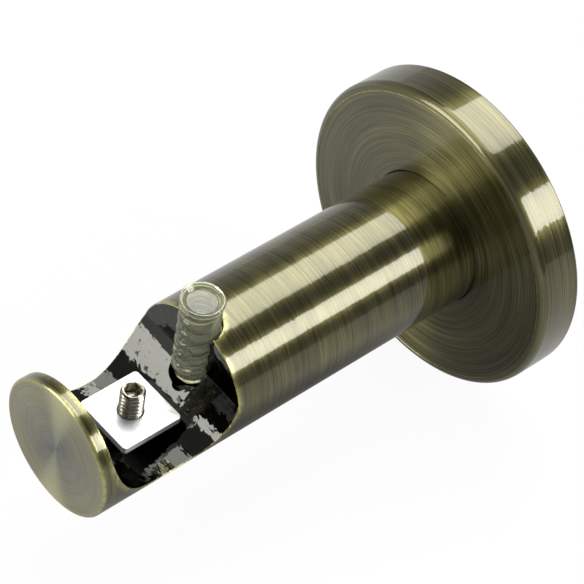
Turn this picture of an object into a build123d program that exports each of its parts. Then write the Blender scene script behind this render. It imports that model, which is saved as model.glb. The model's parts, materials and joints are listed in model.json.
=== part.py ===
import math
import os

from build123d import *

os.makedirs("parts", exist_ok=True)

# Curtain pole bracket, in millimetres. The origin is the middle of the wall face, +Z is up,
# the arm stands out from the wall along -Y, and the pole lies along X.

# Arm, one casting turned on the outside
arm_diameter = 28.0
projection = 100.0
arm_edge_chamfer = 0.4
arm_back_chamfer = 0.6

# Pole seat, a slot across the arm that is open at the top
pole_diameter = 28.0
pole_length_play = 0.4
cradle_play = 0.6
end_wall = 2.7
cradle_floor = 7.6

# Clear screw that bites on the pole, in its groove in the rear wall of the seat
clear_diameter = 8.3
clear_length = 21.1
clear_standout = 6.2
clear_behind_wall = 0.4
clear_play = 0.3
clear_bore_floor = 5.0
clear_head_height = 1.1
clear_lip_width = 0.9
clear_dish_depth = 0.35
clear_neck_diameter = 7.0
clear_neck_height = 0.5
clear_tip_diameter = 5.6
clear_tip_height = 3.2
clear_tip_chamfer = 0.8

# Grub screw and square nut in the bottom of the seat
grub_diameter = 4.8
grub_length = 16.0
grub_above_nut = 5.8
grub_from_front = 17.3
grub_socket_width = 2.5
grub_socket_depth = 2.6
nut_side = 13.4
nut_thickness = 1.5
nut_corner_round = 0.8
nut_above_floor = 3.7

# Rose, a turned cup that hides the wall plate
rose_diameter = 65.0
rose_depth = 9.4
rose_face = 2.4
rose_rim = 4.0
rose_edge_round = 1.6
rose_back_chamfer = 0.4
rose_bore_play = 0.25

# Wall plate, held to the arm by one countersunk screw
plate_thickness = 4.0
plate_play = 0.4
plate_edge_chamfer = 0.4
wall_screw_count = 3
wall_screw_hole = 4.5
wall_screw_head = 9.0
centre_screw_diameter = 6.0
centre_screw_head = 11.3
centre_screw_grip = 14.0
centre_screw_sink = 0.2
centre_screw_head_play = 0.1
centre_socket_width = 4.0
centre_socket_depth = 2.2
tapped_run_out = 2.0

# Small grub screw under the rose, which grips the plate's edge
rose_grub_diameter = 3.0
rose_grub_sink = 0.4
rose_grub_from_wall = 2.3
rose_grub_socket_width = 1.5
rose_grub_socket_depth = 1.6

# Threads are plain cylinders here, with a small play in their holes
thread_play = 0.05
thread_end_chamfer = 0.5
drill_point_angle = 118.0

# Places that follow from the sizes
arm_radius = arm_diameter / 2
front_y = -projection
seat_radius = pole_diameter / 2 + cradle_play
seat_front_y = front_y + end_wall
seat_back_y = seat_front_y + pole_diameter + pole_length_play
seat_axis_y = seat_front_y + seat_radius
seat_floor_z = cradle_floor - arm_radius
seat_axis_z = seat_floor_z + seat_radius
over_arm_z = max(arm_radius, seat_axis_z) + 1.0

drill_point = 1 / math.tan(math.radians(drill_point_angle / 2))
clear_radius = clear_diameter / 2
clear_axis_y = seat_back_y + clear_behind_wall
clear_axis = Axis((0, clear_axis_y, 0), (0, 0, 1))
clear_top_z = arm_radius + clear_standout
clear_tip_z = clear_top_z - clear_length
clear_bore_radius = clear_radius + clear_play
clear_bore_end_z = clear_bore_floor - arm_radius

grub_radius = grub_diameter / 2
grub_bore_radius = grub_radius + thread_play
grub_axis_y = front_y + grub_from_front
nut_bottom_z = seat_floor_z + nut_above_floor
nut_top_z = nut_bottom_z + nut_thickness
grub_top_z = nut_top_z + grub_above_nut
grub_bottom_z = grub_top_z - grub_length

rose_radius = rose_diameter / 2
rose_inner_radius = rose_radius - rose_rim
rose_bore_radius = arm_radius + rose_bore_play
plate_radius = rose_inner_radius - plate_play
wall_screw_circle = (arm_radius + plate_radius) / 2

centre_screw_radius = centre_screw_diameter / 2
centre_cone_height = (centre_screw_head - centre_screw_diameter) / 2
rose_grub_radius = rose_grub_diameter / 2


with BuildPart() as arm:
    with BuildSketch(Plane.XZ.offset(plate_thickness)):
        Circle(arm_radius)
    extrude(amount=projection - plate_thickness)
    chamfer(arm.edges().group_by(Axis.Y)[0], arm_edge_chamfer)
    chamfer(arm.edges().group_by(Axis.Y)[-1], arm_back_chamfer)

    # Slot for the pole: a round cradle with a straight front wall and a straight rear wall
    wall_to_axis = seat_back_y - seat_axis_y
    crease_z = seat_axis_z - math.sqrt(seat_radius**2 - wall_to_axis**2)
    with BuildSketch(Plane.YZ):
        with BuildLine():
            Line((seat_front_y, over_arm_z), (seat_front_y, seat_axis_z))
            ThreePointArc(
                (seat_front_y, seat_axis_z),
                (seat_axis_y, seat_floor_z),
                (seat_back_y, crease_z),
            )
            Line((seat_back_y, crease_z), (seat_back_y, over_arm_z))
            Line((seat_back_y, over_arm_z), (seat_front_y, over_arm_z))
        make_face()
    extrude(amount=arm_radius + 1, both=True, mode=Mode.SUBTRACT)

    # Bore of the clear screw: a half round groove in the rear wall, then a blind hole
    with BuildSketch(Plane.XZ.offset(-clear_axis_y)):
        with BuildLine():
            Polyline(
                (0, clear_bore_end_z - clear_bore_radius * drill_point),
                (clear_bore_radius, clear_bore_end_z),
                (clear_bore_radius, over_arm_z),
                (0, over_arm_z),
                close=True,
            )
        make_face()
    revolve(axis=clear_axis, mode=Mode.SUBTRACT)

    # Tapped hole of the grub screw, through the floor of the cradle
    with BuildSketch(Plane.XY.offset(-arm_radius - 1)):
        with Locations((0, grub_axis_y)):
            Circle(grub_bore_radius)
    extrude(amount=arm_radius + 1, mode=Mode.SUBTRACT)

    # Tapped blind hole in the back end, for the centre screw
    tapped_radius = centre_screw_radius + thread_play
    tapped_end_y = -plate_thickness - centre_screw_grip - tapped_run_out
    with BuildSketch(Plane.XY):
        with BuildLine():
            Polyline(
                (0, tapped_end_y - tapped_radius * drill_point),
                (tapped_radius, tapped_end_y),
                (tapped_radius, -plate_thickness),
                (0, -plate_thickness),
                close=True,
            )
        make_face()
    revolve(axis=Axis.Y, mode=Mode.SUBTRACT)
arm.part.label = "arm"


with BuildPart() as rose:
    with BuildSketch(Plane.XY) as rose_profile:
        with BuildLine():
            Polyline(
                (rose_bore_radius, -rose_depth),
                (rose_radius, -rose_depth),
                (rose_radius, 0),
                (rose_inner_radius, 0),
                (rose_inner_radius, rose_face - rose_depth),
                (rose_bore_radius, rose_face - rose_depth),
                close=True,
            )
        make_face()
        front_corner = rose_profile.vertices().group_by(Axis.Y)[0].sort_by(Axis.X)[-1]
        fillet(front_corner, rose_edge_round)
        back_corner = rose_profile.vertices().group_by(Axis.Y)[-1].sort_by(Axis.X)[-1]
        chamfer(back_corner, rose_back_chamfer)
    revolve(axis=Axis.Y)

    # Tapped hole for the small grub screw, on the underside of the rim
    with BuildSketch(Plane.XY.offset(-rose_radius - 1)):
        with Locations((0, -rose_grub_from_wall)):
            Circle(rose_grub_radius + thread_play)
    extrude(amount=rose_rim + 2, mode=Mode.SUBTRACT)
rose.part.label = "rose"


with BuildPart() as wall_plate:
    with BuildSketch(Plane.XZ):
        Circle(plate_radius)
    extrude(amount=plate_thickness)
    chamfer(wall_plate.edges().group_by(Axis.Y)[0], plate_edge_chamfer)

    # Countersunk holes for the wall screws, open to the front
    with Locations(Plane.XZ.offset(plate_thickness)):
        with PolarLocations(wall_screw_circle, wall_screw_count, start_angle=90):
            CounterSinkHole(wall_screw_hole / 2, wall_screw_head / 2)

    # Countersunk hole for the centre screw, open to the back
    with Locations(Plane.XZ.rotated((180, 0, 0))):
        CounterSinkHole(
            centre_screw_radius + thread_play,
            centre_screw_head / 2 + centre_screw_sink + centre_screw_head_play,
        )
wall_plate.part.label = "wall_plate"


with BuildPart() as centre_screw:
    screw_back_y = -centre_screw_sink
    screw_end_y = -plate_thickness - centre_screw_grip
    with BuildSketch(Plane.XY) as centre_profile:
        with BuildLine():
            Polyline(
                (0, screw_back_y),
                (centre_screw_head / 2, screw_back_y),
                (centre_screw_radius, screw_back_y - centre_cone_height),
                (centre_screw_radius, screw_end_y),
                (0, screw_end_y),
                close=True,
            )
        make_face()
        end_corner = centre_profile.vertices().group_by(Axis.Y)[0].sort_by(Axis.X)[-1]
        chamfer(end_corner, thread_end_chamfer)
    revolve(axis=Axis.Y)
    with BuildSketch(Plane.XZ.offset(centre_screw_sink)):
        RegularPolygon(centre_socket_width / 2, 6, major_radius=False)
    extrude(amount=centre_socket_depth, mode=Mode.SUBTRACT)
centre_screw.part.label = "centre_screw"


with BuildPart() as rose_grub_screw:
    rose_grub_length = rose_rim + plate_play - rose_grub_sink
    with BuildSketch(Plane.XY.offset(-rose_radius + rose_grub_sink)):
        with Locations((0, -rose_grub_from_wall)):
            Circle(rose_grub_radius)
    extrude(amount=rose_grub_length)
    with BuildSketch(Plane.XY.offset(-rose_radius + rose_grub_sink)):
        with Locations((0, -rose_grub_from_wall)):
            RegularPolygon(rose_grub_socket_width / 2, 6, major_radius=False)
    extrude(amount=rose_grub_socket_depth, mode=Mode.SUBTRACT)
rose_grub_screw.part.label = "rose_grub_screw"


with BuildPart() as square_nut:
    with BuildSketch(Plane.XY.offset(nut_bottom_z)):
        with Locations((0, grub_axis_y)):
            RectangleRounded(nut_side, nut_side, nut_corner_round)
            Circle(grub_bore_radius, mode=Mode.SUBTRACT)
    extrude(amount=nut_thickness)
square_nut.part.label = "square_nut"


with BuildPart() as nut_grub_screw:
    with BuildSketch(Plane.XY.offset(grub_bottom_z)):
        with Locations((0, grub_axis_y)):
            Circle(grub_radius)
    extrude(amount=grub_length)
    chamfer(nut_grub_screw.edges().group_by(Axis.Z)[0], thread_end_chamfer)
    chamfer(nut_grub_screw.edges().group_by(Axis.Z)[-1], thread_end_chamfer)
    with BuildSketch(Plane.XY.offset(grub_top_z)):
        with Locations((0, grub_axis_y)):
            RegularPolygon(grub_socket_width / 2, 6, major_radius=False)
    extrude(amount=-grub_socket_depth, mode=Mode.SUBTRACT)
nut_grub_screw.part.label = "nut_grub_screw"


with BuildPart() as clamp_screw:
    neck_radius = clear_neck_diameter / 2
    tip_radius = clear_tip_diameter / 2
    dish_radius = clear_radius - clear_lip_width
    neck_top_z = clear_top_z - clear_head_height
    neck_bottom_z = neck_top_z - clear_neck_height
    with BuildSketch(Plane.XZ.offset(-clear_axis_y)) as clear_profile:
        with BuildLine():
            Polyline(
                (0, clear_tip_z),
                (tip_radius, clear_tip_z),
                (clear_radius, clear_tip_z + clear_tip_height),
                (clear_radius, neck_bottom_z),
                (neck_radius, neck_bottom_z),
                (neck_radius, neck_top_z),
                (clear_radius, neck_top_z),
                (clear_radius, clear_top_z),
                (dish_radius, clear_top_z),
                (dish_radius, clear_top_z - clear_dish_depth),
                (0, clear_top_z - clear_dish_depth),
                close=True,
            )
        make_face()
        tip_corner = clear_profile.vertices().group_by(Axis.Y)[0].sort_by(Axis.X)[-1]
        chamfer(tip_corner, clear_tip_chamfer)
    revolve(axis=clear_axis)
clamp_screw.part.label = "clamp_screw"


export_step(arm.part, "parts/arm.step")
export_step(rose.part, "parts/rose.step")
export_step(wall_plate.part, "parts/wall_plate.step")
export_step(centre_screw.part, "parts/centre_screw.step")
export_step(rose_grub_screw.part, "parts/rose_grub_screw.step")
export_step(square_nut.part, "parts/square_nut.step")
export_step(nut_grub_screw.part, "parts/nut_grub_screw.step")
export_step(clamp_screw.part, "parts/clamp_screw.step")
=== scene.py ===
import json
import math

import bmesh
import bpy
import mathutils
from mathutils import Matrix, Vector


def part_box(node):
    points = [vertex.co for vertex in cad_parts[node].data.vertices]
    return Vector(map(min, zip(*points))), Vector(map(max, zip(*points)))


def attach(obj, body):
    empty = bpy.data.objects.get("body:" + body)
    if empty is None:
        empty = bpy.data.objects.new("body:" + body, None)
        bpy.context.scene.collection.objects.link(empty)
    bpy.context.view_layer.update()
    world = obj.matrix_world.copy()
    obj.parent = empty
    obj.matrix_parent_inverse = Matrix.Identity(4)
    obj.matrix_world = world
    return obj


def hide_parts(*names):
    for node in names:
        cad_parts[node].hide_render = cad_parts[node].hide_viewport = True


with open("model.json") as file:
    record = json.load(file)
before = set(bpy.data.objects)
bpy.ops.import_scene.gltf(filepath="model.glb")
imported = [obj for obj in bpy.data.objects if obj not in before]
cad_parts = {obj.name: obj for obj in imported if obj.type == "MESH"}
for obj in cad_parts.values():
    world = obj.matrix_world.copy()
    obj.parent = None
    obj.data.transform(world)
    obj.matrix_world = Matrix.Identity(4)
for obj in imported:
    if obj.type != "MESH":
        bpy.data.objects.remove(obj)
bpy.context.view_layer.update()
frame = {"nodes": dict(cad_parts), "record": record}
print("frame loaded:", sorted(frame["nodes"]))

metre = 1000.0  # everything is modelled in millimetres and scaled down at the end


def boxOf(node):
    low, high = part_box(node)
    return low * metre, high * metre


def mountAt(name):
    mount = next(m for m in frame["record"]["mounts"] if m["name"] == name)
    return mathutils.Vector(mount["pos_m"]) * metre


# shapes that every piece uses

def roundedOutline(corners, steps=6):
    # corners are (radius, height, round) or (radius, height, round, sides)
    outline = []
    for index, corner in enumerate(corners):
        radius, height, bend = corner[:3]
        sides = corner[3] if len(corner) > 3 else 0
        if bend == 0:
            outline.append((radius, height, sides))
            continue
        here = mathutils.Vector((radius, height))
        toLast = (mathutils.Vector(corners[index - 1][:2]) - here).normalized()
        toNext = (mathutils.Vector(corners[(index + 1) % len(corners)][:2]) - here).normalized()
        half = toLast.angle(toNext) / 2
        centre = here + (toLast + toNext).normalized() * bend / math.sin(half)
        start = here + toLast * bend / math.tan(half) - centre
        end = here + toNext * bend / math.tan(half) - centre
        turn = start.angle_signed(end)
        for step in range(steps + 1):
            spot = centre + mathutils.Matrix.Rotation(-turn * step / steps, 2) @ start
            outline.append((spot.x, spot.y, sides))
    return outline


def sideRadius(radius, sides, angle):
    # across-flats radius of a polygon in this direction, or the plain radius
    if sides == 0:
        return radius
    share = 2 * math.pi / sides
    return radius / math.cos((angle % share) - share / 2)


def ringOf(shape, radius, height, sides, segments):
    ring = []
    for step in range(segments):
        angle = 2 * math.pi * step / segments
        reach = sideRadius(radius, sides, angle)
        ring.append(shape.verts.new((reach * math.cos(angle), reach * math.sin(angle), height)))
    return ring


def asObject(name, shape):
    mesh = bpy.data.meshes.new(name)
    shape.to_mesh(mesh)
    shape.free()
    made = bpy.data.objects.new(name, mesh)
    bpy.context.scene.collection.objects.link(made)
    return made


def turnedMesh(name, outline, segments):
    # a closed turned solid about local Z, its outline runs from the lower pole to the upper one
    shape = bmesh.new()
    rings = []
    for radius, height, sides in outline:
        if radius < 1e-6:
            rings.append([shape.verts.new((0, 0, height))])
        else:
            rings.append(ringOf(shape, radius, height, sides, segments))
    for lower, upper in zip(rings, rings[1:]):
        for step in range(segments):
            after = (step + 1) % segments
            if len(lower) == 1:
                corners = (lower[0], upper[after], upper[step])
            elif len(upper) == 1:
                corners = (lower[step], lower[after], upper[0])
            else:
                corners = (lower[step], lower[after], upper[after], upper[step])
            shape.faces.new(corners)
    return asObject(name, shape)


def closedRing(name, outline, segments):
    # a turned ring whose outline closes on itself and never meets the axis
    shape = bmesh.new()
    rings = [ringOf(shape, radius, height, sides, segments) for radius, height, sides in outline]
    for index, ring in enumerate(rings):
        other = rings[(index + 1) % len(rings)]
        for step in range(segments):
            after = (step + 1) % segments
            shape.faces.new((ring[step], ring[after], other[after], other[step]))
    bmesh.ops.recalc_face_normals(shape, faces=shape.faces)
    return asObject(name, shape)


def plateMesh(name, outline, low, high):
    # a flat closed outline in local XY, made thick along Z
    shape = bmesh.new()
    bottom = [shape.verts.new((x, y, low)) for x, y in outline]
    top = [shape.verts.new((x, y, high)) for x, y in outline]
    shape.faces.new(list(reversed(bottom)))
    shape.faces.new(top)
    for index in range(len(outline)):
        after = (index + 1) % len(outline)
        shape.faces.new((bottom[index], bottom[after], top[after], top[index]))
    bmesh.ops.recalc_face_normals(shape, faces=shape.faces)
    return asObject(name, shape)


def placeMesh(made, place):
    made.data.transform(place)
    if place.determinant() < 0:
        made.data.flip_normals()
    return made


def settle(made):
    # modifiers become a plain mesh
    bpy.context.view_layer.update()
    graph = bpy.context.evaluated_depsgraph_get()
    mesh = bpy.data.meshes.new_from_object(made.evaluated_get(graph))
    made.modifiers.clear()
    old = made.data
    made.data = mesh
    bpy.data.meshes.remove(old)
    return made


def cutAway(made, cutters):
    for cutter in cutters:
        cut = made.modifiers.new("cut", "BOOLEAN")
        cut.operation = "DIFFERENCE"
        cut.solver = "EXACT"
        cut.material_mode = "TRANSFER"
        cut.object = cutter
    settle(made)
    for cutter in cutters:
        bpy.data.objects.remove(cutter)
    return made


def shadeByAngle(made, angle):
    for face in made.data.polygons:
        face.use_smooth = True
    made.data.set_sharp_from_angle(angle=math.radians(angle))
    return made


def smoothOver(made):
    # smooth shading that keeps the large faces flat and the sharp edges sharp
    shadeByAngle(made, 40)
    weighted = made.modifiers.new("normals", "WEIGHTED_NORMAL")
    weighted.weight = 90
    weighted.keep_sharp = True
    return settle(made)


def roundEdges(made, width, angle, material=-1, segments=3, spared=lambda spot: False):
    # spared tells of a point whether its edges stay sharp
    shape = bmesh.new()
    shape.from_mesh(made.data)
    weights = shape.edges.layers.float.new("bevel_weight_edge")
    for edge in shape.edges:
        sharp = len(edge.link_faces) == 2 and edge.calc_face_angle() > math.radians(angle)
        kept = all(spared(vertex.co) for vertex in edge.verts)
        edge[weights] = 1.0 if sharp and not kept else 0.0
    shape.to_mesh(made.data)
    shape.free()
    bevel = made.modifiers.new("round", "BEVEL")
    bevel.width = width
    bevel.segments = segments
    bevel.limit_method = "WEIGHT"
    bevel.use_clamp_overlap = False
    bevel.material = material
    return smoothOver(settle(made))


def finishPiece(made, body, node):
    made.data.transform(mathutils.Matrix.Scale(1 / metre, 4))
    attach(made, body)
    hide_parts(node)
    print(made.name, "done,", len(made.data.polygons), "faces")
    return made


turnToArm = mathutils.Matrix.Rotation(math.radians(90), 4, "X")  # local Z becomes -Y


# node helpers

def addNode(tree, kind, inputs=None, **settings):
    made = tree.nodes.new(kind)
    for key, value in settings.items():
        setattr(made, key, value)
    for key, value in (inputs or {}).items():
        socket = made.inputs[key]
        if isinstance(value, bpy.types.NodeSocket):
            tree.links.new(value, socket)
        else:
            socket.default_value = value
    return made


def maths(tree, operation, first, second=0.0, third=0.0):
    made = addNode(tree, "ShaderNodeMath", {0: first, 1: second, 2: third}, operation=operation)
    return made.outputs[0]


def vectorMaths(tree, operation, first, second=(0, 0, 0)):
    made = addNode(tree, "ShaderNodeVectorMath", {0: first, 1: second}, operation=operation)
    return made.outputs[0]


def scaled(tree, vector, amount):
    made = addNode(tree, "ShaderNodeVectorMath", {0: vector, "Scale": amount}, operation="SCALE")
    return made.outputs[0]


def lengthOf(tree, vector):
    made = addNode(tree, "ShaderNodeVectorMath", {0: vector}, operation="LENGTH")
    return made.outputs["Value"]


def combined(tree, x=0.0, y=0.0, z=0.0):
    return addNode(tree, "ShaderNodeCombineXYZ", {"X": x, "Y": y, "Z": z}).outputs[0]


def greyOf(tree, value):
    return addNode(tree, "ShaderNodeCombineColor", {0: value, 1: value, 2: value}).outputs[0]


def remap(tree, value, low, high, lowTo=0.0, highTo=1.0, smooth=False):
    inputs = {"Value": value, "From Min": low, "From Max": high, "To Min": lowTo, "To Max": highTo}
    made = addNode(tree, "ShaderNodeMapRange", inputs, clamp=True)
    if smooth:
        made.interpolation_type = "SMOOTHSTEP"
    return made.outputs[0]


def blendColour(tree, share, first, second, how="MIX"):
    made = addNode(tree, "ShaderNodeMix", data_type="RGBA", blend_type=how)
    for key, value in ((0, share), (6, first), (7, second)):
        if isinstance(value, bpy.types.NodeSocket):
            tree.links.new(value, made.inputs[key])
        else:
            made.inputs[key].default_value = value
    return made.outputs[2]


def noiseOf(tree, vector, scale, detail=2.0, roughness=0.5):
    inputs = {"Vector": vector, "Scale": scale, "Detail": detail, "Roughness": roughness}
    return addNode(tree, "ShaderNodeTexNoise", inputs).outputs[0]


def newMaterial(name):
    material = bpy.data.materials.new(name)
    material.use_nodes = True
    tree = material.node_tree
    surface = tree.nodes["Principled BSDF"]
    place = addNode(tree, "ShaderNodeTexCoord").outputs["Object"]
    return material, tree, surface, scaled(tree, place, metre)


def rgb(red, green, blue):
    return (red, green, blue, 1.0)


# brushed brass, turned about the arm's axis

brassLook = {
    "patina": rgb(0.060, 0.054, 0.016),
    "brass": rgb(0.215, 0.197, 0.078),
    "bare": rgb(0.56, 0.53, 0.20),
    "endDisc": rgb(0.37, 0.35, 0.17),
    "endCentre": rgb(0.135, 0.14, 0.12),
    # width of a brush line in mm, its turns round the arm, a shift that keeps it apart, detail
    "fine": (0.10, 1.3, 0.0, 2.0),
    "wide": (0.38, 0.8, 40.0, 2.0),
    "band": (4.0, 0.9, 90.0, 2.0),
    "lean": (0.22, 2.0, 150.0, 3.0),
    "pitch": (0.15, 1.5, 210.0, 3.0),
    "fineShare": 0.55,
    "wornSpan": (0.37, 0.63),
    "bandShades": (0.78, 1.22),
    "endDepth": (0.5, 0.1),
    "endRadii": (1.0, 13.0),
    "endStreaks": 0.5,
    "patchScale": 0.9,
    "patchSpan": (0.36, 0.60),
    "patchLeast": 0.25,
    "roughness": 0.38,
    "roughnessSpan": 0.06,
    "anisotropic": 0.92,
    "coat": 1.0,
    "coatRoughness": 0.05,
    "coatLean": 0.6,
    "sideTilt": 0.035,    # how far a brush line leans round the arm
    "lengthTilt": 0.10,
}


def ringSpace(tree, place):
    # round the arm as a unit circle, and along it as one length over faces and sides
    parts = addNode(tree, "ShaderNodeSeparateXYZ", {0: place}).outputs
    flat = combined(tree, x=parts["X"], z=parts["Z"])
    radius = maths(tree, "MAXIMUM", lengthOf(tree, flat), 0.01)
    around = vectorMaths(tree, "NORMALIZE", flat)
    along = maths(tree, "SUBTRACT", radius, parts["Y"])
    return parts, radius, around, along


def streaks(tree, around, along, width, turns, shift, detail):
    lengthwise = maths(tree, "MULTIPLY_ADD", along, 1 / width, shift)
    spread = scaled(tree, around, turns)
    return noiseOf(tree, vectorMaths(tree, "ADD", spread, combined(tree, y=lengthwise)), 1.0, detail, 0.6)


def brushedBrass(name, look, wearAndHighlightOf):
    material, tree, surface, place = newMaterial(name)
    parts, radius, around, along = ringSpace(tree, place)
    layers = ("fine", "wide", "band", "lean", "pitch")
    fine, wide, band, lean, pitch = (streaks(tree, around, along, *look[layer]) for layer in layers)

    share = look["fineShare"]
    mixed = maths(tree, "MULTIPLY_ADD", fine, share, maths(tree, "MULTIPLY", wide, 1 - share))
    worn = remap(tree, mixed, *look["wornSpan"])
    colour = blendColour(tree, worn, look["patina"], look["brass"])
    shade = remap(tree, band, 0.3, 0.7, *look["bandShades"])
    colour = blendColour(tree, 1.0, colour, greyOf(tree, shade), "MULTIPLY")

    # the end disc is painted darker in its centre and lighter towards its rim, partly worn brass and partly a
    # painted sheen where the lamps catch it
    frontY = boxOf("arm")[0].y
    onEnd = remap(tree, parts["Y"], frontY + look["endDepth"][0], frontY + look["endDepth"][1])
    # painted sheen as well as wear: the rim colour's share grows outwards
    rimSheenAndWear = remap(tree, radius, *look["endRadii"])
    endColour = blendColour(tree, rimSheenAndWear, look["endCentre"], look["endDisc"])
    endStreaks = remap(tree, mixed, 0.3, 0.7, 0.0, look["endStreaks"])
    endColour = blendColour(tree, endStreaks, endColour, look["patina"])
    colour = blendColour(tree, onEnd, colour, endColour)

    # edges are worn down to bare brass, in patches; on the rose the crease line also holds a painted
    # highlight
    patches = noiseOf(tree, place, look["patchScale"], 4.0, 0.65)
    patches = remap(tree, patches, *look["patchSpan"], look["patchLeast"], 1.0)
    edges = maths(tree, "MULTIPLY", wearAndHighlightOf(tree, parts, radius), patches)
    # bare brass colour, which on the rose also paints a highlight
    colour = blendColour(tree, edges, colour, look["bare"])
    tree.links.new(colour, surface.inputs["Base Color"])

    # each brush line leans a little on its own, so the edges of a reflection are ragged
    bare = addNode(tree, "ShaderNodeNewGeometry").outputs["Normal"]
    axis = (0.0, 1.0, 0.0)
    side = vectorMaths(tree, "CROSS_PRODUCT", axis, around)
    lengthways = vectorMaths(tree, "CROSS_PRODUCT", bare, side)
    sideLean = scaled(tree, side, remap(tree, lean, 0.2, 0.8, -look["sideTilt"], look["sideTilt"]))
    longLean = scaled(tree, lengthways, remap(tree, pitch, 0.2, 0.8, -look["lengthTilt"], look["lengthTilt"]))
    normal = vectorMaths(tree, "ADD", bare, vectorMaths(tree, "ADD", sideLean, longLean))
    normal = vectorMaths(tree, "NORMALIZE", normal)
    tree.links.new(normal, surface.inputs["Normal"])
    coatNormal = vectorMaths(tree, "ADD", bare, scaled(tree, sideLean, look["coatLean"]))
    tree.links.new(vectorMaths(tree, "NORMALIZE", coatNormal), surface.inputs["Coat Normal"])
    tree.links.new(lengthways, surface.inputs["Tangent"])  # a reflection spreads across the brush lines

    smoothest = look["roughness"] - look["roughnessSpan"]
    roughest = look["roughness"] + look["roughnessSpan"]
    tree.links.new(remap(tree, wide, 0.3, 0.7, smoothest, roughest), surface.inputs["Roughness"])
    surface.inputs["Metallic"].default_value = 1.0
    surface.inputs["Anisotropic"].default_value = look["anisotropic"]
    surface.inputs["Coat Weight"].default_value = look["coat"]
    surface.inputs["Coat Roughness"].default_value = look["coatRoughness"]
    return material


def edgeFade(tree, distance, reach):
    # 1 at an edge, falling to 0 at this distance from it
    return remap(tree, distance, 0.0, reach, 1.0, 0.0, True)


wornLook = {
    "colour": rgb(0.62, 0.58, 0.22),
    "darkShare": 0.35,
    "patches": (1.2, 3.0),    # scale and detail of a noise
    "patchSpan": (0.35, 0.6),
    "roughness": 0.3,
    "coat": 0.5,
    "coatRoughness": 0.1,
}


def wornEdge(name, look):
    material, tree, surface, place = newMaterial(name)
    patches = remap(tree, noiseOf(tree, place, *look["patches"]), *look["patchSpan"])
    dark = tuple(look["darkShare"] * part for part in look["colour"][:3]) + (1.0,)
    colour = blendColour(tree, patches, dark, look["colour"])
    tree.links.new(colour, surface.inputs["Base Color"])
    surface.inputs["Metallic"].default_value = 1.0
    surface.inputs["Roughness"].default_value = look["roughness"]
    surface.inputs["Coat Weight"].default_value = look["coat"]
    surface.inputs["Coat Roughness"].default_value = look["coatRoughness"]
    return material


seatLook = {
    "shine": rgb(0.064, 0.064, 0.058),   # a glossy black that mirrors with hardly any blur
    "dull": rgb(0.010, 0.010, 0.010),
    "roughness": 0.06,
    # scale, detail and roughness of a noise, and the span in which it shows
    "specks": (2.2, 3.0, 0.6),
    "speckSpan": (0.65, 0.70),
    "patches": (0.35, 4.0, 0.6),
    "patchSpan": (0.64, 0.68),
    "ripples": (0.7, 1.5, 0.4),
    "rippleDepth": 0.00007,
}


def seatBlack(name, look):
    # glossy black that was sprayed on, so it is uneven and has dull specks
    material, tree, surface, place = newMaterial(name)
    specks = remap(tree, noiseOf(tree, place, *look["specks"]), *look["speckSpan"])
    patches = remap(tree, noiseOf(tree, place, *look["patches"]), *look["patchSpan"])
    colour = blendColour(tree, maths(tree, "MAXIMUM", specks, patches), look["shine"], look["dull"])
    tree.links.new(colour, surface.inputs["Base Color"])
    surface.inputs["Metallic"].default_value = 1.0
    surface.inputs["Roughness"].default_value = look["roughness"]
    ripple = noiseOf(tree, place, *look["ripples"])
    inputs = {"Strength": 1.0, "Distance": look["rippleDepth"], "Height": ripple}
    bump = addNode(tree, "ShaderNodeBump", inputs)
    tree.links.new(bump.outputs[0], surface.inputs["Normal"])
    return material


wornBrass = wornEdge("wornBrass", wornLook)
seatFinish = seatBlack("seatFinish", seatLook)
print("brass materials done")


# the other finishes

def plainMetal(name, colour, roughness, grain, grainSize):
    material, tree, surface, place = newMaterial(name)
    cloud = noiseOf(tree, place, 1 / grainSize, 4.0, 0.6)
    dark = tuple(part * (1 - grain) for part in colour[:3]) + (1.0,)
    tree.links.new(blendColour(tree, remap(tree, cloud, 0.35, 0.65), dark, colour),
                   surface.inputs["Base Color"])
    tree.links.new(remap(tree, cloud, 0.3, 0.7, roughness + 0.08, roughness - 0.05),
                   surface.inputs["Roughness"])
    bump = addNode(tree, "ShaderNodeBump", {"Strength": 0.25, "Distance": 0.0001, "Height": cloud})
    tree.links.new(bump.outputs[0], surface.inputs["Normal"])
    surface.inputs["Metallic"].default_value = 1.0
    return material


plasticLook = {"tint": rgb(0.70, 0.72, 0.48), "paleTint": rgb(0.80, 0.82, 0.60), "clear": 0.92,
               "roughness": 0.11, "bend": 1.49}    # milky, so it stays pale before the black seat


def clearPlastic(name, look):
    material, tree, surface, place = newMaterial(name)
    cloud = noiseOf(tree, place, 0.25, 2.0, 0.5)
    tint = blendColour(tree, remap(tree, cloud, 0.35, 0.65), look["tint"], look["paleTint"])
    tree.links.new(tint, surface.inputs["Base Color"])
    surface.inputs["Transmission Weight"].default_value = look["clear"]
    surface.inputs["Roughness"].default_value = look["roughness"]
    surface.inputs["IOR"].default_value = look["bend"]
    return material


zinc = plainMetal("brightZinc", rgb(0.90, 0.91, 0.93), 0.42, 0.10, 0.5)
nickel = plainMetal("nickel", rgb(0.44, 0.42, 0.33), 0.26, 0.35, 1.6)
plateSteel = plainMetal("plateSteel", rgb(0.58, 0.58, 0.56), 0.34, 0.15, 1.6)
screwSteel = plainMetal("screwSteel", rgb(0.55, 0.55, 0.53), 0.28, 0.2, 0.9)
clear = clearPlastic("clearPlastic", plasticLook)
print("other materials done")


# threads, cut by a rule into the side of a turned screw

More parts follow.
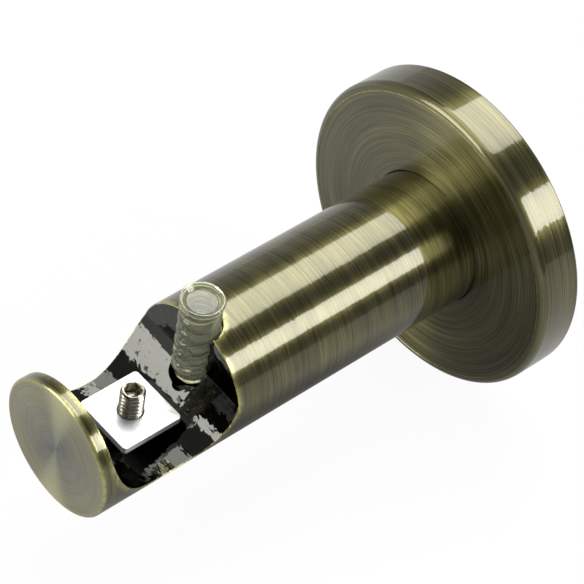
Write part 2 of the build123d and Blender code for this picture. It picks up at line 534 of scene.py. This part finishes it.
def threadTree():
    tree = bpy.data.node_groups.new("cutThread", "GeometryNodeTree")
    sides = tree.interface
    sides.new_socket("Geometry", in_out="INPUT", socket_type="NodeSocketGeometry")
    for label, value in (("Crest Radius", 2.4), ("Depth", 0.4), ("Pitch", 0.8), ("Flat Crest", 0.25),
                         ("Flat Root", 0.15), ("Bulge", 1.0), ("From", 0.0), ("To", 10.0), ("Run Out", 0.4)):
        made = sides.new_socket(label, in_out="INPUT", socket_type="NodeSocketFloat")
        made.default_value = value
    sides.new_socket("Material", in_out="INPUT", socket_type="NodeSocketMaterial")
    sides.new_socket("Geometry", in_out="OUTPUT", socket_type="NodeSocketGeometry")
    given = tree.nodes.new("NodeGroupInput").outputs
    result = tree.nodes.new("NodeGroupOutput")

    place = addNode(tree, "GeometryNodeInputPosition").outputs[0]
    parts = addNode(tree, "ShaderNodeSeparateXYZ", {0: place}).outputs
    flat = combined(tree, x=parts["X"], y=parts["Y"])
    radius = lengthOf(tree, flat)
    outward = vectorMaths(tree, "NORMALIZE", flat)
    turn = maths(tree, "DIVIDE", maths(tree, "ARCTAN2", parts["Y"], parts["X"]), 2 * math.pi)
    rise = maths(tree, "DIVIDE", parts["Z"], given["Pitch"])
    phase = maths(tree, "FRACT", maths(tree, "SUBTRACT", rise, turn))
    slope = maths(tree, "ABSOLUTE", maths(tree, "MULTIPLY_ADD", phase, 2.0, -1.0))  # 0 on the crest
    flank = remap(tree, slope, given["Flat Crest"], maths(tree, "SUBTRACT", 1.0, given["Flat Root"]))
    groove = maths(tree, "POWER", flank, given["Bulge"])  # above 1 the ridges swell like barrels
    started = maths(tree, "ADD", given["From"], given["Run Out"])
    starts = remap(tree, parts["Z"], given["From"], started, smooth=True)
    ending = maths(tree, "SUBTRACT", given["To"], given["Run Out"])
    ends = remap(tree, parts["Z"], given["To"], ending, smooth=True)
    cut = maths(tree, "MULTIPLY", maths(tree, "MULTIPLY", groove, given["Depth"]),
                maths(tree, "MULTIPLY", starts, ends))
    threaded = maths(tree, "MINIMUM", radius, maths(tree, "SUBTRACT", given["Crest Radius"], cut))
    offset = scaled(tree, outward, maths(tree, "SUBTRACT", threaded, radius))
    outer = addNode(tree, "GeometryNodeInputNamedAttribute", {"Name": "threaded"}, data_type="BOOLEAN")
    moved = addNode(tree, "GeometryNodeSetPosition", {
        "Geometry": given["Geometry"], "Selection": outer.outputs["Attribute"], "Offset": offset}).outputs[0]
    real = addNode(tree, "GeometryNodeRealizeInstances", {"Geometry": moved}).outputs[0]
    painted = addNode(tree, "GeometryNodeSetMaterial", {"Geometry": real, "Material": given["Material"]})
    tree.links.new(painted.outputs[0], result.inputs[0])
    return tree


threadRule = threadTree()


def cutThread(made, outer, sizes, material):
    # outer tells from a vertex's radius and height whether the thread may cut it
    marks = made.data.attributes.new("threaded", "BOOLEAN", "POINT")
    for index, vertex in enumerate(made.data.vertices):
        marks.data[index].value = outer(math.hypot(vertex.co.x, vertex.co.y), vertex.co.z)
    modifier = made.modifiers.new("thread", "NODES")
    modifier.node_group = threadRule
    sockets = {s.name: s.identifier for s in threadRule.interface.items_tree if s.in_out == "INPUT"}
    for label, value in sizes.items():
        modifier[sockets[label]] = value
    modifier[sockets["Material"]] = material
    settle(made)
    made.data.attributes.remove(made.data.attributes["threaded"])
    return made


def threadedSide(radius, low, high, spacing):
    # plain rings close enough together for a thread
    count = max(2, round((high - low) / spacing))
    return [(radius, low + (high - low) * step / count, 0) for step in range(1, count)]


# arm

armSize = {
    "segments": 288,
    "frontRound": 0.55,
    "backChamfer": 0.6,
    "endWall": 2.7,
    "seatRadius": 14.6,
    "slotLength": 28.4,
    "boreFloor": -9.0,
    "boreMinor": 3.72,    # the plain hole before its thread is cut
    "boreMajor": 4.2,
    "boreDepth": 0.52,
    "mouthRadius": 4.45,
    "mouthFrom": 12.2,
    "clearAxisBehindWall": 0.4,
    "grubHole": 2.45,
    "grubFromFront": 17.3,
    "backHole": 3.05,
    "backHoleDepth": 16.0,
    "drillPoint": 0.6,
    "edgeRound": 0.22,
    "bevelAngle": 32,
    "slotSteps": 120,
    "boreSegments": 128,
    "holeSegments": 64,
    "topPast": 4.0,       # how far the cutters run past the arm, above and at its sides
    "sidePast": 2.0,
    "backPast": 1.0,
    "threadMargin": 0.2,  # the edges this near to the bore's thread stay sharp
    "mouthMargin": 0.1,
    "threadAbove": 0.3,
    "wornDepth": 0.6,     # edges deeper inside than this are black
    "slotWear": 1.5,      # how far the bare brass reaches from an edge
    "rimWear": 1.0,
}


def armPlaces(size):
    # where along the arm the slot's walls, its cradle and the clear screw stand
    wallY = boxOf("arm")[0].y + size["endWall"]
    rearY = wallY + size["slotLength"]
    axisY = wallY + size["seatRadius"]
    clearY = rearY + size["clearAxisBehindWall"]
    return {"wall": wallY, "axis": axisY, "rear": rearY, "clear": clearY}


def armWear(tree, parts, radius):
    size = armSize
    low, high = boxOf("arm")
    places = armPlaces(size)
    halfSlot = size["slotLength"] / 2
    fromMiddle = maths(tree, "SUBTRACT", parts["Y"], places["wall"] + halfSlot)
    fromWalls = maths(tree, "SUBTRACT", maths(tree, "ABSOLUTE", fromMiddle), halfSlot)
    below = maths(tree, "MINIMUM", maths(tree, "SUBTRACT", parts["Z"], mountAt("pole_seat").z), 0.0)
    reach = maths(tree, "SUBTRACT", parts["Y"], places["axis"])
    spoke = lengthOf(tree, combined(tree, y=reach, z=below))
    fromSlot = maths(tree, "MAXIMUM", fromWalls, maths(tree, "SUBTRACT", spoke, size["seatRadius"]))

    aside = maths(tree, "SUBTRACT", parts["Y"], places["clear"])
    spoke = lengthOf(tree, combined(tree, x=parts["X"], y=aside))
    fromHole = maths(tree, "SUBTRACT", spoke, size["mouthRadius"])
    underside = maths(tree, "LESS_THAN", parts["Z"], 0.0)
    fromHole = maths(tree, "MULTIPLY_ADD", underside, 100.0, fromHole)  # the hole doesn't reach the underside
    slotEdge = edgeFade(tree, maths(tree, "MINIMUM", fromSlot, fromHole), size["slotWear"])

    inwards = maths(tree, "SUBTRACT", (high.x - low.x) / 2, radius)
    fromRim = maths(tree, "MAXIMUM", inwards, maths(tree, "SUBTRACT", parts["Y"], low.y))
    return maths(tree, "MAXIMUM", slotEdge, edgeFade(tree, fromRim, size["rimWear"]))


def slotOutline(size, places, radius, seatZ):
    # side view of the slot in (y, z), from the front wall round the cradle to the rear wall
    axisY = places["axis"]
    rearY = places["rear"]
    top = radius + size["topPast"]
    cradle = size["seatRadius"]
    creaseAngle = -math.acos((rearY - axisY) / cradle)
    points = [(places["wall"], top)]
    for step in range(size["slotSteps"] + 1):
        angle = -math.pi + (math.pi + creaseAngle) * step / size["slotSteps"]
        points.append((axisY + cradle * math.cos(angle), seatZ + cradle * math.sin(angle)))
    points.append((rearY, top))
    return points


def boreThread(size, place):
    # the clear screw's thread, cut into its hole where the screw's own thread runs
    low = size["boreFloor"] - place.z
    high = size["mouthFrom"] + size["threadAbove"] - place.z
    beyond = 9  # the thread runs out this far past the cutter, so it is whole inside
    major = size["boreMajor"]
    outline = [(0, low - major * size["drillPoint"], 0), (major, low, 0)]
    outline += threadedSide(major, low, high, clearSize["pitch"] / 20)
    outline += [(major, high, 0), (0, high, 0)]
    cutter = turnedMesh("boreThread", outline, size["boreSegments"])
    sizes = {"Crest Radius": major, "Depth": size["boreDepth"], "Pitch": clearSize["pitch"],
             "Flat Crest": clearSize["flatCrest"], "Flat Root": 0.0, "Bulge": clearSize["bulge"],
             "From": low - beyond, "To": high + beyond, "Run Out": 0.5}
    cutThread(cutter, lambda reach, height: reach > 1.0, sizes, seatFinish)
    return placeMesh(cutter, mathutils.Matrix.Translation(place))


def makeArm(size):
    low, high = boxOf("arm")
    radius = (high.x - low.x) / 2
    length = high.y - low.y
    outline = roundedOutline([
        (0, 0, 0), (radius - size["backChamfer"], 0, 0), (radius, size["backChamfer"], 0),
        (radius, length, size["frontRound"]), (0, length, 0)])
    arm = turnedMesh("bracketArm", outline, size["segments"])
    placeMesh(arm, mathutils.Matrix.Translation((0, high.y, 0)) @ turnToArm)
    arm.data.materials.append(armBrass)
    arm.data.materials.append(wornBrass)

    places = armPlaces(size)
    clearY = places["clear"]
    slot = slotOutline(size, places, radius, mountAt("pole_seat").z)
    aside = radius + size["sidePast"]
    above = radius + size["topPast"]
    slotCutter = plateMesh("slotCutter", slot, -aside, aside)
    placeMesh(slotCutter, mathutils.Matrix(((0, 0, 1, 0), (1, 0, 0, 0), (0, 1, 0, 0), (0, 0, 0, 1))))

    minor = size["boreMinor"]
    mouth = size["mouthRadius"]
    boreCutter = turnedMesh("boreCutter", [
        (0, size["boreFloor"] - minor * size["drillPoint"], 0), (minor, size["boreFloor"], 0),
        (minor, size["mouthFrom"] - (mouth - minor), 0), (mouth, size["mouthFrom"], 0),
        (mouth, above, 0), (0, above, 0)], size["boreSegments"])
    placeMesh(boreCutter, mathutils.Matrix.Translation((0, clearY, 0)))

    hole = size["grubHole"]
    grubCutter = turnedMesh("grubCutter", [
        (0, -aside, 0), (hole, -aside, 0), (hole, 0, 0), (0, 0, 0)], size["holeSegments"])
    placeMesh(grubCutter, mathutils.Matrix.Translation((0, low.y + size["grubFromFront"], 0)))

    back = size["backHole"]
    depth = size["backHoleDepth"]
    behind = -size["backPast"]
    backCutter = turnedMesh("backCutter", [
        (0, behind, 0), (back, behind, 0), (back, depth, 0),
        (0, depth + back * size["drillPoint"], 0)], size["holeSegments"])
    placeMesh(backCutter, mathutils.Matrix.Translation((0, high.y, 0)) @ turnToArm)

    cutters = [slotCutter, boreCutter, grubCutter, backCutter]
    for cutter in cutters:
        cutter.data.materials.append(seatFinish)
    cutters.append(boreThread(size, mathutils.Vector((0, clearY, boxOf("clamp_screw")[0].z))))
    cutAway(arm, cutters)
    threadSide = size["boreMajor"] + size["threadMargin"]
    threadTop = size["mouthFrom"] + size["mouthMargin"]
    roundEdges(arm, size["edgeRound"], size["bevelAngle"], 1, spared=lambda spot: (
        math.hypot(spot.x, spot.y - clearY) < threadSide and spot.z < threadTop))

    # only the edges on the outside are worn bare
    black = arm.data.materials.find(seatFinish.name)
    for face in arm.data.polygons:
        inside = math.hypot(face.center.x, face.center.z) < radius - size["wornDepth"]
        if face.material_index == 1 and inside and face.center.y > low.y + size["wornDepth"]:
            face.material_index = black
    return finishPiece(arm, "bracket", "arm")


# the clear screw's sizes, which its hole in the arm needs as well
clearSize = {
    "segments": 144,
    "headRadius": 4.25,
    "headHeight": 0.95,
    "headRound": 0.3,
    "underRound": 0.2,
    "lip": 0.35,
    "lipRound": 0.2,
    "dishRadius": 2.9,
    "dish": 0.85,
    "dishRound": 0.4,
    "neckRadius": 3.8,
    "neckHeight": 0.3,
    "neckRound": 0.1,
    "shoulder": 0.5,
    "shoulderRound": 0.15,
    "crestRadius": 4.05,
    # the rounded tip, as corners of (radius, height, round)
    "tip": ((0, 0, 0), (2.75, 0, 1.4), (3.4, 2.0, 0.4), (4.05, 3.6, 0.5)),
    "pitch": 3.05,
    "depth": 0.5,
    "flatCrest": 0.12,
    "bulge": 2.0,
    "shadeAngle": 60,
}

armBrass = brushedBrass("armBrass", brassLook, armWear)
makeArm(armSize)


# rose

roseSize = {
    "segments": 320,
    "face": 2.4,
    "rim": 4.0,
    "frontRound": 1.6,
    "creaseRadius": 30.74,
    "creaseStep": 0.09,
    "boreRound": 0.2,
    "innerRound": 0.5,
    "backRound": 0.4,
    "boreRadius": 14.08,
    "grubHole": 1.55,
    "grubFromWall": 2.3,
    "creaseRound": 0.03,
    "roundSteps": 10,
    "creaseLineWidth": 0.3,
    "creaseLineDepths": (1.0, 0.5),
    "highlightHeights": (-10.0, 15.0),    # a painted highlight: the line is brightest at the top and fades downwards between these heights
    "highlightShares": (0.1, 0.7),
    "holeSegments": 48,
    "holePast": 2.0,
    "edgeRound": 0.12,
    "bevelAngle": 50,
}


def roseWearAndHighlight(tree, parts, radius):
    # a bare line where the turned face meets the shoulder, with a painted highlight that is strongest at the
    # top
    size = roseSize
    front = boxOf("rose")[0].y
    middle = size["creaseRadius"] + size["creaseStep"] / 2
    away = maths(tree, "ABSOLUTE", maths(tree, "SUBTRACT", radius, middle))
    onFace = remap(tree, parts["Y"], front + size["creaseLineDepths"][0], front + size["creaseLineDepths"][1])
    line = maths(tree, "MULTIPLY", edgeFade(tree, away, size["creaseLineWidth"]), onFace)
    # painted highlight: the line is painted brighter at the top than at the bottom
    return maths(tree, "MULTIPLY", line, remap(tree, parts["Z"], *size["highlightHeights"], *size["highlightShares"]))


def makeRose(size):
    low, high = boxOf("rose")
    radius = (high.x - low.x) / 2
    depth = high.y - low.y
    inner = radius - size["rim"]
    bore = size["boreRadius"]
    face = depth - size["creaseStep"]
    crease = size["creaseRadius"]
    corners = [
        (bore, depth - size["face"], size["boreRound"]), (bore, face, size["boreRound"]),
        (crease, face, size["creaseRound"]), (crease + size["creaseStep"], depth, size["creaseRound"]),
        (radius, depth, size["frontRound"]), (radius, 0, size["backRound"]),
        (inner, 0, size["backRound"]), (inner, depth - size["face"], size["innerRound"])]
    rose = closedRing("coverRose", roundedOutline(corners, size["roundSteps"]), size["segments"])
    placeMesh(rose, mathutils.Matrix.Translation((0, high.y, 0)) @ turnToArm)
    rose.data.materials.append(roseBrass)
    rose.data.materials.append(wornBrass)
    hole = size["grubHole"]
    outside = low.z - size["holePast"]
    within = low.z + size["rim"] + size["holePast"] / 2
    cutter = turnedMesh("roseHole", [
        (0, outside, 0), (hole, outside, 0), (hole, within, 0), (0, within, 0)], size["holeSegments"])
    placeMesh(cutter, mathutils.Matrix.Translation((0, -size["grubFromWall"], 0)))
    cutter.data.materials.append(seatFinish)
    cutAway(rose, [cutter])
    roundEdges(rose, size["edgeRound"], size["bevelAngle"], 1, 2)
    return finishPiece(rose, "bracket", "rose")


roseBrass = brushedBrass("roseBrass", brassLook, roseWearAndHighlight)
makeRose(roseSize)


# wall plate

plateSize = {
    "segments": 192,
    "edgeRound": 0.4,
    "backRound": 0.15,
    "screwCircle": 42.1,
    "screwCount": 3,
    "firstScrew": 90,      # degrees, so that one hole is at the top
    "screwHole": 2.25,
    "screwHead": 4.5,
    "centreHole": 3.05,
    "centreHead": 5.95,
    "holeSegments": 64,
    "shadeAngle": 8,       # small, so that the flat faces stay flat up to their edges
}


def countersink(name, hole, head, thickness):
    # cutter along local Z, with its wide end at the top and both ends past the plate
    past = 1
    return turnedMesh(name, [
        (0, -past, 0), (hole, -past, 0), (hole, thickness - (head - hole), 0),
        (head + past, thickness + past, 0), (0, thickness + past, 0)], plateSize["holeSegments"])


def makePlate(size):
    low, high = boxOf("wall_plate")
    radius = (high.x - low.x) / 2
    thickness = high.y - low.y
    outline = roundedOutline([
        (0, 0, 0), (radius, 0, size["backRound"]), (radius, thickness, size["edgeRound"]),
        (0, thickness, 0)])
    plate = turnedMesh("wallPlate", outline, size["segments"])
    placeMesh(plate, turnToArm)
    plate.data.materials.append(plateSteel)
    cutters = []
    for step in range(size["screwCount"]):
        angle = math.radians(size["firstScrew"] + 360 * step / size["screwCount"])
        cutter = countersink("screwCut" + str(step), size["screwHole"], size["screwHead"], thickness)
        spot = mathutils.Vector((math.cos(angle), 0, math.sin(angle))) * size["screwCircle"] / 2
        placeMesh(cutter, mathutils.Matrix.Translation(spot) @ turnToArm)
        cutters.append(cutter)
    centre = countersink("centreCut", size["centreHole"], size["centreHead"], thickness)
    fromBack = mathutils.Matrix.Rotation(math.radians(-90), 4, "X")
    placeMesh(centre, mathutils.Matrix.Translation((0, low.y, 0)) @ fromBack)
    cutters.append(centre)
    for cutter in cutters:
        cutter.data.materials.append(plateSteel)
    cutAway(plate, cutters)
    shadeByAngle(plate, size["shadeAngle"])
    return finishPiece(plate, "bracket", "wall_plate")


makePlate(plateSize)


# centre screw, its thread in the back of the arm

centreSize = {
    "segments": 72,
    "radius": 3.0,
    "headRadius": 5.65,
    "headRound": 0.15,
    "neckRound": 0.3,
    "socket": 2.0,
    "socketDepth": 2.2,
    "socketPoint": 0.5,
    "socketLead": 0.25,
    "socketFlare": 1.2,
    "endChamfer": 0.5,
    "plainNeck": 0.4,
    "threadFrom": 1.0,     # the thread begins this far past the cone, and runs on as far past the end
    "pitch": 1.0,
    "depth": 0.55,
    "flatCrest": 0.12,
    "flatRoot": 0.1,
    "runOut": 0.8,
    "shadeAngle": 32,
}


def makeCentreScrew(size):
    low, high = boxOf("centre_screw")
    length = high.y - low.y
    radius = size["radius"]
    socket = size["socket"]
    chamfer = size["endChamfer"]
    cone = size["headRadius"] - radius
    plain = cone + size["plainNeck"]
    corners = [
        (0, size["socketDepth"] + size["socketPoint"], 0), (socket, size["socketDepth"], 0, 6),
        (socket, size["socketLead"], 0, 6), (socket * size["socketFlare"], 0, 0),
        (size["headRadius"], 0, size["headRound"]), (radius, cone, size["neckRound"])]
    outline = roundedOutline(corners + [(radius, length, 0)])[:-1]
    outline += threadedSide(radius, plain, length - chamfer, size["pitch"] / 12)
    outline += [(radius, length - chamfer, 0), (radius - chamfer, length, 0), (0, length, 0)]
    screw = turnedMesh("centreScrew", outline, size["segments"])
    shank = {"Crest Radius": radius, "Depth": size["depth"], "Pitch": size["pitch"],
             "Flat Crest": size["flatCrest"], "Flat Root": size["flatRoot"],
             "From": cone + size["threadFrom"], "To": length + size["threadFrom"], "Run Out": size["runOut"]}
    cutThread(screw, lambda reach, height: height > plain and reach > radius * 0.6, shank, screwSteel)
    placeMesh(screw, mathutils.Matrix.Translation((0, high.y, 0)) @ turnToArm)
    shadeByAngle(screw, size["shadeAngle"])
    return finishPiece(screw, "bracket", "centre_screw")


makeCentreScrew(centreSize)


# small grub screw under the rose, and the grub screw through the square nut

grubForm = {
    "segments": 96,
    "socketPoint": 0.5,    # the socket's drilled point and flare, as shares of its radius
    "socketFlare": 1.22,
    "socketLead": 0.1,
    "shadeAngle": 40,
    "flatCrest": 0.2,
    "flatRoot": 0.08,
    "threadPast": 2.0,     # the thread runs on past both ends
    "runOut": 0.5,
}


def grubMesh(name, size, length, material):
    # socket end at the bottom of local Z
    form = grubForm
    radius = size["radius"]
    socket = size["socket"]
    chamfer = size["chamfer"]
    outline = [
        (0, size["socketDepth"] + socket * form["socketPoint"], 0), (socket, size["socketDepth"], 6),
        (socket, 0.2 * chamfer + form["socketLead"], 6), (socket * form["socketFlare"], 0, 0),
        (radius - chamfer, 0, 0), (radius, chamfer, 0)]
    outline += threadedSide(radius, chamfer, length - chamfer, size["pitch"] / 14)
    outline += [(radius, length - chamfer, 0), (radius - chamfer, length, 0), (0, length, 0)]
    screw = turnedMesh(name, outline, form["segments"])
    past = form["threadPast"]
    sizes = {"Crest Radius": radius, "Depth": size["depth"], "Pitch": size["pitch"],
             "Flat Crest": form["flatCrest"], "Flat Root": form["flatRoot"],
             "From": -past, "To": length + past, "Run Out": form["runOut"]}
    side = radius - chamfer * 1.01    # the chamfers' rims move with the thread
    cutThread(screw, lambda reach, height: reach > side, sizes, material)
    return shadeByAngle(screw, form["shadeAngle"])


roseGrubSize = {"radius": 1.5, "socket": 0.75, "socketDepth": 1.6, "chamfer": 0.25, "pitch": 0.5,
                "depth": 0.28}


def makeRoseGrub(size):
    low, high = boxOf("rose_grub_screw")
    screw = grubMesh("roseGrubScrew", size, high.z - low.z, screwSteel)
    placeMesh(screw, mathutils.Matrix.Translation((0, (low.y + high.y) / 2, low.z)))
    return finishPiece(screw, "bracket", "rose_grub_screw")


makeRoseGrub(roseGrubSize)

nutGrubSize = {"radius": 2.4, "socket": 1.4, "socketDepth": 2.6, "chamfer": 0.45, "pitch": 1.0,
               "depth": 0.42}


def makeNutGrub(size):
    low, high = boxOf("nut_grub_screw")
    screw = grubMesh("nutGrubScrew", size, high.z - low.z, nickel)
    upsideDown = mathutils.Matrix.Rotation(math.pi, 4, "X")
    place = mathutils.Matrix.Translation((0, (low.y + high.y) / 2, high.z)) @ upsideDown
    placeMesh(screw, place)
    return finishPiece(screw, "grub_and_nut", "nut_grub_screw")


makeNutGrub(nutGrubSize)


# square nut

nutSize = {"cornerRound": 0.8, "cornerSteps": 8, "hole": 2.45, "holeSegments": 96, "edgeRound": 0.18,
           "bevelAngle": 40}


def makeNut(size):
    low, high = boxOf("square_nut")
    half = (high.x - low.x) / 2
    middle = (low.y + high.y) / 2
    outline = []
    bend = size["cornerRound"]
    straight = half - bend
    for quarter, (signX, signY) in enumerate(((1, 1), (-1, 1), (-1, -1), (1, -1))):
        for step in range(size["cornerSteps"] + 1):
            angle = math.radians(90 * quarter + 90 * step / size["cornerSteps"])
            x = signX * straight + bend * math.cos(angle)
            y = signY * straight + bend * math.sin(angle)
            outline.append((x, y))
    nut = plateMesh("squareNut", outline, low.z, high.z)
    nut.data.materials.append(zinc)
    below = low.z - 1
    above = high.z + 1
    hole = size["hole"]
    cutter = turnedMesh("nutHole", [
        (0, below, 0), (hole, below, 0), (hole, above, 0), (0, above, 0)], size["holeSegments"])
    cutter.data.materials.append(zinc)
    cutAway(nut, [cutter])
    placeMesh(nut, mathutils.Matrix.Translation((0, middle, 0)))
    roundEdges(nut, size["edgeRound"], size["bevelAngle"])
    return finishPiece(nut, "grub_and_nut", "square_nut")


makeNut(nutSize)


# clear screw

def makeClearScrew(size):
    low, high = boxOf("clamp_screw")
    length = high.z - low.z
    crest = size["crestRadius"]
    head = size["headRadius"]
    neckTop = length - size["headHeight"]
    neckLow = neckTop - size["neckHeight"]
    neck = size["neckRadius"]
    dishFloor = length - size["dish"]
    threadTop = neckLow - size["shoulder"]
    tipTop = size["tip"][-1][1]
    outline = roundedOutline(list(size["tip"]) + [(crest, tipTop + 2, 0)], 8)[:-1]
    outline += threadedSide(crest, outline[-1][1], threadTop, size["pitch"] / 28)
    outline += roundedOutline([
        (crest, threadTop, 0), (crest, neckLow, size["shoulderRound"]), (neck, neckLow, size["neckRound"]),
        (neck, neckTop, size["neckRound"]), (head, neckTop, size["underRound"]),
        (head, length, size["headRound"]), (head - size["lip"], length, size["lipRound"]),
        (size["dishRadius"], dishFloor, size["dishRound"]), (0, dishFloor, 0)], 5)
    screw = turnedMesh("clearScrew", outline, size["segments"])
    sizes = {"Crest Radius": crest, "Depth": size["depth"], "Pitch": size["pitch"],
             "Flat Crest": size["flatCrest"], "Flat Root": 0.0, "Bulge": size["bulge"],
             "From": -2.0, "To": threadTop, "Run Out": 1.0}
    cutThread(screw, lambda reach, height: reach > 2.0 and height < threadTop - 0.01, sizes, clear)
    placeMesh(screw, mathutils.Matrix.Translation((0, (low.y + high.y) / 2, low.z)))
    shadeByAngle(screw, size["shadeAngle"])
    return finishPiece(screw, "clear_screw", "clamp_screw")


makeClearScrew(clearSize)


# floor, background and light

floorSize = {
    "height": -33.0,
    "half": 3000.0,
    "cameraWhite": 0.94,
    "mirrorWhite": 0.68,    # how bright the pieces see the floor
    "mirrorShade": 0.16,    # and how bright in the shade under the arm
    "shadeAt": (8.0, -45.0),
    "shadeReach": (50.0, 78.0),
    "shadeSpan": (0.2, 1.15),    # where the shade starts to fade and where it ends, in its reach
    "paint": rgb(0.82, 0.82, 0.82),
}


def makeFloor(size):
    half = size["half"] / metre
    level = size["height"] / metre
    mesh = bpy.data.meshes.new("floor")
    corners = [(-half, -half, level), (half, -half, level), (half, half, level), (-half, half, level)]
    mesh.from_pydata(corners, [], [(0, 1, 2, 3)])
    floor = bpy.data.objects.new("floor", mesh)
    bpy.context.scene.collection.objects.link(floor)
    material = bpy.data.materials.new("paleFloor")
    material.use_nodes = True
    tree = material.node_tree
    tree.nodes.clear()
    place = addNode(tree, "ShaderNodeTexCoord").outputs["Object"]
    parts = addNode(tree, "ShaderNodeSeparateXYZ", {0: scaled(tree, place, metre)}).outputs
    offsets = [maths(tree, "SUBTRACT", parts[side], at) for side, at in zip("XY", size["shadeAt"])]
    shares = [maths(tree, "DIVIDE", offset, reach) for offset, reach in zip(offsets, size["shadeReach"])]
    away = lengthOf(tree, combined(tree, x=shares[0], y=shares[1]))
    shaded = remap(tree, away, *size["shadeSpan"], size["mirrorShade"], size["mirrorWhite"], True)
    rays = addNode(tree, "ShaderNodeLightPath").outputs
    white = addNode(tree, "ShaderNodeEmission", {"Color": rgb(1, 1, 1), "Strength": 1.0}).outputs[0]
    mirror = addNode(tree, "ShaderNodeEmission", {"Color": rgb(1, 1, 1), "Strength": shaded}).outputs[0]
    matt = addNode(tree, "ShaderNodeBsdfDiffuse", {"Color": size["paint"]}).outputs[0]
    seen = maths(tree, "MULTIPLY", rays["Is Camera Ray"], size["cameraWhite"])
    seen = maths(tree, "MAXIMUM", seen, rays["Is Transmission Ray"])
    mixed = addNode(tree, "ShaderNodeMixShader", {0: seen, 1: matt, 2: white}).outputs[0]
    mixed = addNode(tree, "ShaderNodeMixShader", {0: rays["Is Glossy Ray"], 1: mixed, 2: mirror}).outputs[0]
    output = tree.nodes.new("ShaderNodeOutputMaterial")
    tree.links.new(mixed, output.inputs["Surface"])
    mesh.materials.append(material)
    return floor


makeFloor(floorSize)


wallLook = {
    "heights": (0.15, 0.55),    # the walls darken upwards between these slopes
    "shades": (0.46, 0.20),
    "rightwards": (0.3, 0.8),   # and towards the right
    "rightShades": (1.0, 0.4),
}


def makeWorld(look):
    world = bpy.data.worlds.new("studio")
    bpy.context.scene.world = world
    world.use_nodes = True
    tree = world.node_tree
    tree.nodes.clear()
    rays = addNode(tree, "ShaderNodeLightPath").outputs
    direction = addNode(tree, "ShaderNodeTexCoord").outputs["Generated"]
    parts = addNode(tree, "ShaderNodeSeparateXYZ", {0: direction}).outputs
    walls = remap(tree, parts["Z"], *look["heights"], *look["shades"], True)
    rightwards = remap(tree, parts["X"], *look["rightwards"], *look["rightShades"], True)
    walls = maths(tree, "MULTIPLY", walls, rightwards)
    seen = maths(tree, "MAXIMUM", rays["Is Camera Ray"], rays["Is Transmission Ray"])
    colour = blendColour(tree, seen, greyOf(tree, walls), rgb(1, 1, 1))
    background = addNode(tree, "ShaderNodeBackground", {"Color": colour, "Strength": 1.0}).outputs[0]
    output = tree.nodes.new("ShaderNodeOutputWorld")
    tree.links.new(background, output.inputs["Surface"])


makeWorld(wallLook)

lampSize = {
    "aim": (0.0, -50.0, 0.0),
    "distance": 700.0,
    "across": 603.0,    # how far the strips hang from the arm's axis
    "strips": {
        "topStrip": {"angle": -15.2, "wide": 42.0, "long": 400.0, "behind": 355.0, "radiance": 5.7},
        "topFront": {"angle": -15.2, "wide": 42.0, "long": 250.0, "behind": 22.0, "radiance": 3.0},
        "sideStrip": {"angle": 52.5, "wide": 25.0, "long": 400.0, "behind": 355.0, "radiance": 9.5},
    },
    "cards": {
        "frontCard": {"towards": (-0.43, -0.82, 0.31), "wide": 420.0, "high": 480.0, "radiance": 6.0},
    },
}


def hangLamp(name, wide, high, radiance, place, turn):
    data = bpy.data.lights.new(name, "AREA")
    data.shape = "RECTANGLE"
    data.size = wide / metre
    data.size_y = high / metre
    data.energy = radiance * math.pi * data.size * data.size_y
    made = bpy.data.objects.new(name, data)
    made.location = place / metre
    made.rotation_euler = turn
    made.visible_camera = False
    bpy.context.scene.collection.objects.link(made)


def makeLamps(size):
    aim = mathutils.Vector(size["aim"])
    across = size["across"]
    for name, lamp in size["strips"].items():
        turn = math.radians(lamp["angle"])
        wide = 2 * across * math.tan(math.radians(lamp["wide"] / 2))
        place = aim + mathutils.Vector((math.sin(turn) * across, lamp["behind"], math.cos(turn) * across))
        hangLamp(name, wide, lamp["long"], lamp["radiance"], place, (0, turn, 0))
    for name, card in size["cards"].items():
        towards = mathutils.Vector(card["towards"]).normalized()
        turn = towards.to_track_quat("Z", "Y").to_euler()
        hangLamp(name, card["wide"], card["high"], card["radiance"], aim + towards * size["distance"], turn)


makeLamps(lampSize)


# camera

cameraView = {
    "azimuth": 40.5985,
    "elevation": 48.0689,
    "roll": -11.2152,
    "aim": (-2.904, -41.522, 1.698),
    "distance": 500.46,
    "lens": 163.174,
    "sensor": 36.0,
    "clip": (10.0, 20000.0),
}


def makeCamera(size):
    turn = math.radians(size["azimuth"])
    lift = math.radians(size["elevation"])
    roll = math.radians(size["roll"])
    flat = math.cos(lift)
    back = mathutils.Vector((math.sin(turn) * flat, -math.cos(turn) * flat, math.sin(lift)))
    level = mathutils.Vector((math.cos(turn), math.sin(turn), 0))
    upright = back.cross(level)
    up = upright * math.cos(roll) + level * math.sin(roll)
    right = up.cross(back)
    data = bpy.data.cameras.new("photoCamera")
    data.lens = size["lens"]
    data.sensor_width = size["sensor"]
    data.clip_start = size["clip"][0] / metre
    data.clip_end = size["clip"][1] / metre
    camera = bpy.data.objects.new("photoCamera", data)
    place = (mathutils.Vector(size["aim"]) + back * size["distance"]) / metre
    camera.matrix_world = mathutils.Matrix((
        (right.x, up.x, back.x, place.x), (right.y, up.y, back.y, place.y),
        (right.z, up.z, back.z, place.z), (0, 0, 0, 1)))
    bpy.context.scene.collection.objects.link(camera)
    bpy.context.scene.camera = camera


makeCamera(cameraView)
bpy.context.scene.view_settings.view_transform = "Standard"
print("light and camera done")
